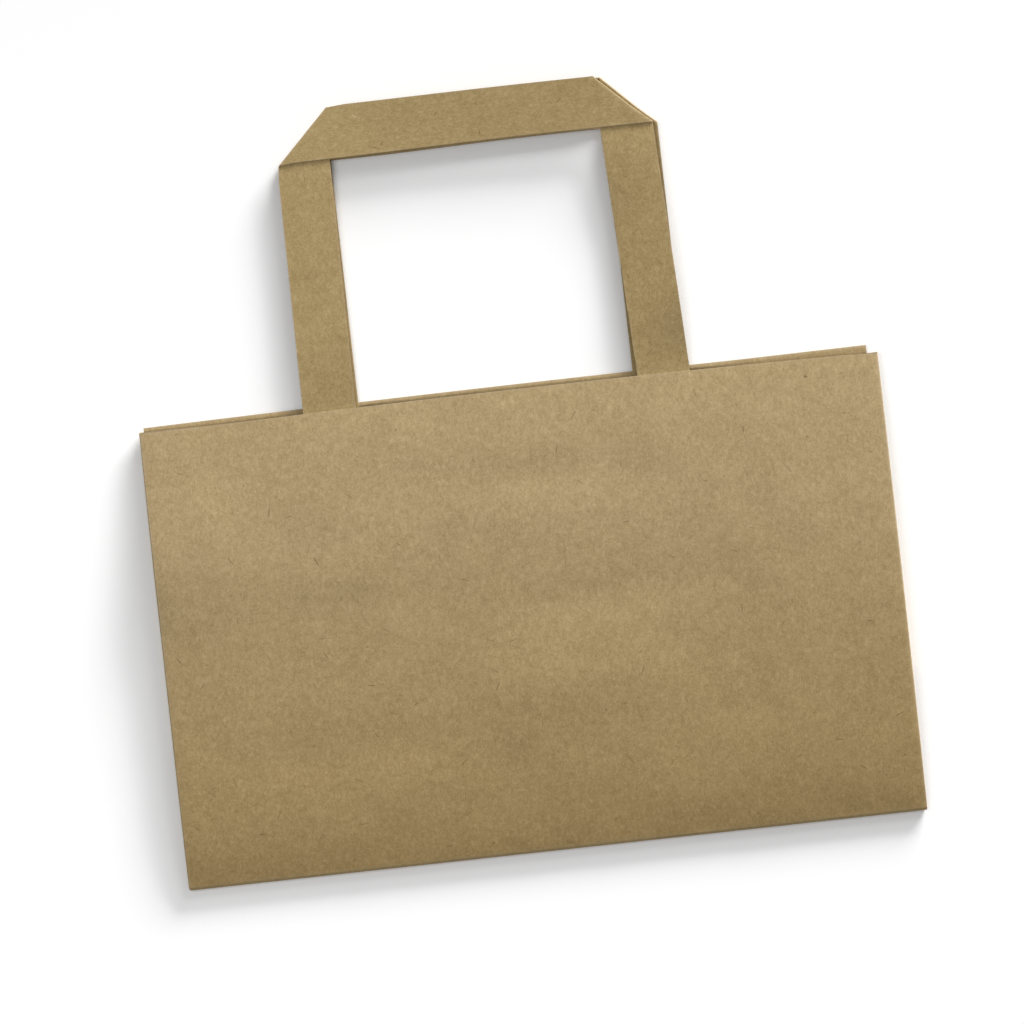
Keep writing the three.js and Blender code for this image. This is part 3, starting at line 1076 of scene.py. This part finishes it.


# Painted shade: the paper's colour is made darker and browner towards the bottom fold.
def shade_towards_fold(tree, paper, where):
    painted_shade = remap(tree, axes_of(tree, where)["Y"], PAINTED_SHADE_FROM * MM, bottom * MM, 0.0, 1.0)
    return blend(tree, painted_shade, paper, PAINTED_SHADE_COLOUR, "MULTIPLY")


def fleck(tree, where, centre, half_length, half_width, turn):
    """One at the middle of a fleck, and nothing from its rim outwards."""
    inside = tree.nodes.new("ShaderNodeMapping")
    inside.vector_type = "TEXTURE"
    tree.links.new(where, inside.inputs["Vector"])
    inside.inputs["Location"].default_value = Vector(centre) * MM
    inside.inputs["Rotation"].default_value = (0, 0, math.radians(turn))
    inside.inputs["Scale"].default_value = Vector((half_length, half_width, FLECK_DEPTH)) * MM
    distance = calculate_vector(tree, "LENGTH", inside.outputs[0])["Value"]
    return remap(tree, distance, SOFT_RIM, 1.0, 1.0, 0.0)


print(f"browning from {PAINTED_SHADE_FROM:.0f} down to {bottom:.0f}")

# %% [markdown]
# ## The kraft finish
#
# Everything is put together in one function, so the sheet, the tape and the patches are one kind of paper
# with small differences. The grain also drives a very low bump and the roughness, so the paper stays matt
# from every side.

# %% Kraft finish
DARK_FIBRE = (0.13, 0.085, 0.04, 1)
PALE_FIBRE = (0.66, 0.54, 0.34, 1)
WORN_PAPER = (0.48, 0.40, 0.28, 1)
DARK_FIBRES = {"size": 5.0, "width": 0.012, "keep": 0.58}  # width and keep are steps of the noise
PALE_FIBRES = {"size": 4.0, "width": 0.010, "keep": 0.62}
BARK = {"spacing": 9.0, "radius": 0.5, "keep": 0.72}  # cells above keep get a speck
HAIRS = {"spacing": 9.0, "half_length": 2.6, "half_width": 0.32, "keep": 0.76}
DARK_STRENGTH, PALE_STRENGTH, BARK_STRENGTH, HAIR_STRENGTH = 0.15, 0.12, 0.35, 0.85
GRAIN_SIZE, GRAIN_DETAIL, GRAIN_ROUGHNESS = 0.6, 3.0, 0.75
GRAIN_SPREAD = (0.3, 0.7)  # values between which the grain changes the surface
ROUGHNESS = (0.92, 0.78)  # at those two values
SPECULAR = 0.3
BUMP_STRENGTH, BUMP_HEIGHT = 0.25, 0.05


def matt_surface(tree, shader, grain):
    tree.links.new(remap(tree, grain, *GRAIN_SPREAD, *ROUGHNESS), shader.inputs["Roughness"])
    shader.inputs["Specular IOR Level"].default_value = SPECULAR
    bump = tree.nodes.new("ShaderNodeBump")
    bump.inputs["Strength"].default_value = BUMP_STRENGTH
    bump.inputs["Distance"].default_value = BUMP_HEIGHT * MM
    tree.links.new(grain, bump.inputs["Height"])
    tree.links.new(bump.outputs["Normal"], shader.inputs["Normal"])


def kraft(name, colour, mottle=1.0, worn=0.3, flecks=()):
    material = bpy.data.materials.new(name)
    material.use_nodes = True
    tree = material.node_tree
    shader = tree.nodes["Principled BSDF"]
    where = tree.nodes.new("ShaderNodeTexCoord").outputs["Object"]
    web = along_web(tree, where)
    grain = noise_of(tree, web, GRAIN_SIZE, GRAIN_DETAIL, GRAIN_ROUGHNESS)
    tone = paper_tone(tree, where, web, grain, mottle)
    paper = blend(tree, 1.0, (*colour, 1), tone, "MULTIPLY")
    paper = marked(tree, paper, value_of(tree, "wear"), worn, WORN_PAPER)
    # painted shade, darker and browner towards the bottom fold
    paper = shade_towards_fold(tree, paper, where)
    paper = marked(tree, paper, fibres(tree, where, **DARK_FIBRES), DARK_STRENGTH, DARK_FIBRE)
    paper = marked(tree, paper, fibres(tree, web, **PALE_FIBRES), PALE_STRENGTH, PALE_FIBRE)
    paper = marked(tree, paper, specks(tree, where, **BARK), BARK_STRENGTH, DARK_FIBRE)
    paper = marked(tree, paper, hairs(tree, where, **HAIRS), HAIR_STRENGTH, DARK_FIBRE)
    for centre, half_length, half_width, turn, fleck_colour, strength in flecks:
        spot = fleck(tree, where, centre, half_length, half_width, turn)
        paper = marked(tree, paper, spot, strength, fleck_colour)
    tree.links.new(paper, shader.inputs["Base Color"])
    matt_surface(tree, shader, grain)
    return material


print(f"grain of {GRAIN_SIZE} mm, {BUMP_HEIGHT} mm high at most")

# %% [markdown]
# ## Three papers
#
# The sheet and the patches are the same kraft. The tape is a shade darker and more mottled, because it is
# pressed from several plies. The flecks are those that catch the eye on the front panel and on the bar.

# %% Finishes of the sheet, the tape and the patches
SHEET_COLOUR, TAPE_COLOUR = (0.407, 0.299, 0.151), (0.396, 0.285, 0.1275)
TAPE_MOTTLE, TAPE_WORN = 1.05, 0.25
SHEET_FLECKS = (  # x, y, half length, half width, turn in degrees, colour, strength
    (128.0, 26.6, 1.1, 0.8, -10, DARK_FIBRE, 0.75),
    (-50.0, 22.9, 0.8, 0.55, 0, DARK_FIBRE, 0.6),
    (5.1, -161.5, 2.4, 1.4, 0, DARK_FIBRE, 0.2),
)
BAR_FLECKS = (
    (-53.0, 159.0, 1.6, 0.5, -45, PALE_FIBRE, 0.7),
    (-42.7, 145.9, 0.8, 0.65, 0, DARK_FIBRE, 0.7),
)


def placed(flecks, height):
    """The flecks with the height of the surface that they lie in."""
    return [((x, y, height(x, y)), *rest) for x, y, *rest in flecks]


front_bar = heights["front_legs"] + TAPE + TAPE_GAP
sheet_flecks = placed(SHEET_FLECKS, laid_at("front"))
bar_flecks = placed(BAR_FLECKS, handle_height("front", front_bar))
sheet_kraft = kraft("kraft sheet", SHEET_COLOUR, flecks=sheet_flecks)
tape_kraft = kraft("kraft tape", TAPE_COLOUR, TAPE_MOTTLE, TAPE_WORN, bar_flecks)
patch_kraft = kraft("kraft patch", SHEET_COLOUR)
print(f"three kraft finishes, {len(sheet_flecks) + len(bar_flecks)} flecks")

# %% [markdown]
# ## Pieces into the frame
#
# Each piece rides on the frame's one body and hides the solid that it replaces.

# %% Finish and ride
for piece, finish, slot, node in (
    (bag_sheet, sheet_kraft, "kraft_sheet", "bag_body"),
    (front_handle, tape_kraft, "kraft_tape", "front_handle"),
    (back_handle, tape_kraft, "kraft_tape", "back_handle"),
    (front_patch, patch_kraft, "kraft_patch", "front_handle_patch"),
    (back_patch, patch_kraft, "kraft_patch", "back_handle_patch"),
):
    piece.data.materials.clear()
    piece.data.materials.append(finish)
    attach(piece, "root")
    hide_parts(node)
    print(f"{piece.name} stands for {node}")

# %% [markdown]
# ## Floor
#
# The floor is a plain white plane that catches the shadow. The light falls off towards the bottom of the bag,
# so the floor shows the camera a tone that grows the same way: it is just white where it is fully lit, and
# keeps the whole shadow. Away from the bag it gives way to the white surroundings, so that no horizon shows
# from the side. What it gives back to the bag is an ordinary white.

# %% Floor and its finish
FLOOR_SIZE = 8.0  # metres, as the next three
FLOOR_SPAN = 0.35  # from the middle, over which the tone that is seen changes
FADE_FROM, FADE_TO = 0.42, 0.85  # from the middle, where the floor gives way to the surroundings
FLOOR_WHITE = 0.93  # what the floor gives back to the bag
FLOOR_SEEN_FAR, FLOOR_SEEN_NEAR = 1.345, 0.935  # what it shows to the camera, away from and near the lamps
LAMP_SIDE = math.radians(82)  # direction in which the floor gets more light, from +X towards +Y


def seen_directly(tree):
    """One for what the camera sees, also in gloss and through glass, and nothing for the light on the bag."""
    path = tree.nodes.new("ShaderNodeLightPath").outputs
    seen = calculate(tree, "MAXIMUM", path["Is Camera Ray"], path["Is Glossy Ray"])
    return calculate(tree, "MAXIMUM", seen, path["Is Transmission Ray"])


def floor_finish():
    material = bpy.data.materials.new("floor white")
    material.use_nodes = True
    tree = material.node_tree
    shader = tree.nodes["Principled BSDF"]
    shader.inputs["Roughness"].default_value = 1.0
    shader.inputs["Specular IOR Level"].default_value = 0.0
    seen = seen_directly(tree)
    place = tree.nodes.new("ShaderNodeTexCoord").outputs["Object"]
    lamp_side = (math.cos(LAMP_SIDE), math.sin(LAMP_SIDE), 0)
    towards = calculate_vector(tree, "DOT_PRODUCT", place, lamp_side)["Value"]
    white = remap(tree, towards, -FLOOR_SPAN, FLOOR_SPAN, FLOOR_SEEN_FAR, FLOOR_SEEN_NEAR)
    tree.links.new(remap(tree, seen, 0.0, 1.0, FLOOR_WHITE, white), shader.inputs["Base Color"])
    from_middle = calculate_vector(tree, "LENGTH", place)["Value"]
    faded = remap(tree, from_middle, FADE_FROM, FADE_TO, 0.0, 1.0)
    edge = tree.nodes.new("ShaderNodeMixShader")
    clear = tree.nodes.new("ShaderNodeBsdfTransparent")
    sources = (calculate(tree, "MULTIPLY", faded, seen), shader.outputs[0], clear.outputs[0])
    for source, socket in zip(sources, edge.inputs):
        tree.links.new(source, socket)
    tree.links.new(edge.outputs[0], tree.nodes["Material Output"].inputs["Surface"])
    return material


plane = bmesh.new()
bmesh.ops.create_grid(plane, x_segments=1, y_segments=1, size=FLOOR_SIZE / 2)
floor_mesh = bpy.data.meshes.new("floor")
plane.to_mesh(floor_mesh)
plane.free()
floor_mesh.materials.append(floor_finish())
floor = bpy.data.objects.new("floor", floor_mesh)
bpy.context.scene.collection.objects.link(floor)
print(f"floor of {FLOOR_SIZE} m")

# %% [markdown]
# ## Light
#
# The bag was lit softly from above its handles, a little from the right. A broad low lamp there gives the
# long soft shadow at the left and bottom and shows the hollows of the paper, a second one above it softens
# the shadow close to the bag, and a high one fills. Each lamp's power is worked out from the share of a plain
# light level that it should give on a flat sheet.

# %% Lamps
LAMPS = {  # azimuth from +X towards +Y, elevation, distance, width, height, share of the light
    "low lamp": (57, 8.0, 3.0, 1.5, 0.40, 0.34),
    "middle lamp": (57, 20, 2.5, 1.2, 0.7, 0.11),
    "high lamp": (160, 60, 1.0, 0.6, 0.6, 0.20),
}
panel_middle = Vector((0, (bottom + mouth) / 2 * MM, 0))
for name, (azimuth, elevation, distance, width, tall, share) in LAMPS.items():
    turn, lift = math.radians(azimuth), math.radians(elevation)
    away = Vector((math.cos(turn) * math.cos(lift), math.sin(turn) * math.cos(lift), math.sin(lift)))
    lamp = bpy.data.lights.new(name, "AREA")
    lamp.shape = "RECTANGLE"
    lamp.size, lamp.size_y = width, tall
    lamp.energy = share * (math.pi * distance) ** 2 / math.sin(lift)
    stand = bpy.data.objects.new(name, lamp)
    stand.location = panel_middle + away * distance
    stand.rotation_euler = (-away).to_track_quat("-Z", "Y").to_euler()
    bpy.context.scene.collection.objects.link(stand)
    print(f"{name}: {lamp.energy:.1f} W")

# %% [markdown]
# ## Surroundings
#
# White surroundings give the even light of a studio. The camera sees them as plain white, and the bag gets
# only its share of their light.

# %% White surroundings
SKY_SHARE = 0.265
world = bpy.data.worlds.new("surroundings")
world.use_nodes = True
bpy.context.scene.world = world
sky = world.node_tree.nodes["Background"]
sky.inputs["Color"].default_value = (1, 1, 1, 1)
sky_light = remap(world.node_tree, seen_directly(world.node_tree), 0.0, 1.0, SKY_SHARE, 1.0)
world.node_tree.links.new(sky_light, sky.inputs["Strength"])
bpy.context.scene.view_settings.view_transform = "Standard"
print(f"surroundings give a share of {SKY_SHARE} of the light")

# %% [markdown]
# ## Camera
#
# The picture is taken from straight above with a long lens, and the bag lies turned by six degrees in it. The
# camera turns the other way by as much, and its height follows from the width that the picture takes in.

# %% Camera
VIEW_WIDTH = 440.5  # millimetres across the picture, at the height of the front panel
VIEW_CENTRE = (-4.0, mouth - 50.9)
BAG_TURN = 6.26  # degrees
LENS, SENSOR = 120, 36
camera = bpy.data.objects.new("camera", bpy.data.cameras.new("camera"))
camera.data.lens = LENS
camera.data.sensor_width = SENSOR
camera_height = VIEW_WIDTH * LENS / SENSOR
camera.location = Vector((*VIEW_CENTRE, heights["front"] + camera_height)) * MM
camera.rotation_euler = (0, 0, -math.radians(BAG_TURN))
bpy.context.scene.collection.objects.link(camera)
bpy.context.scene.camera = camera
print(f"camera {camera_height:.0f} mm above the front panel")
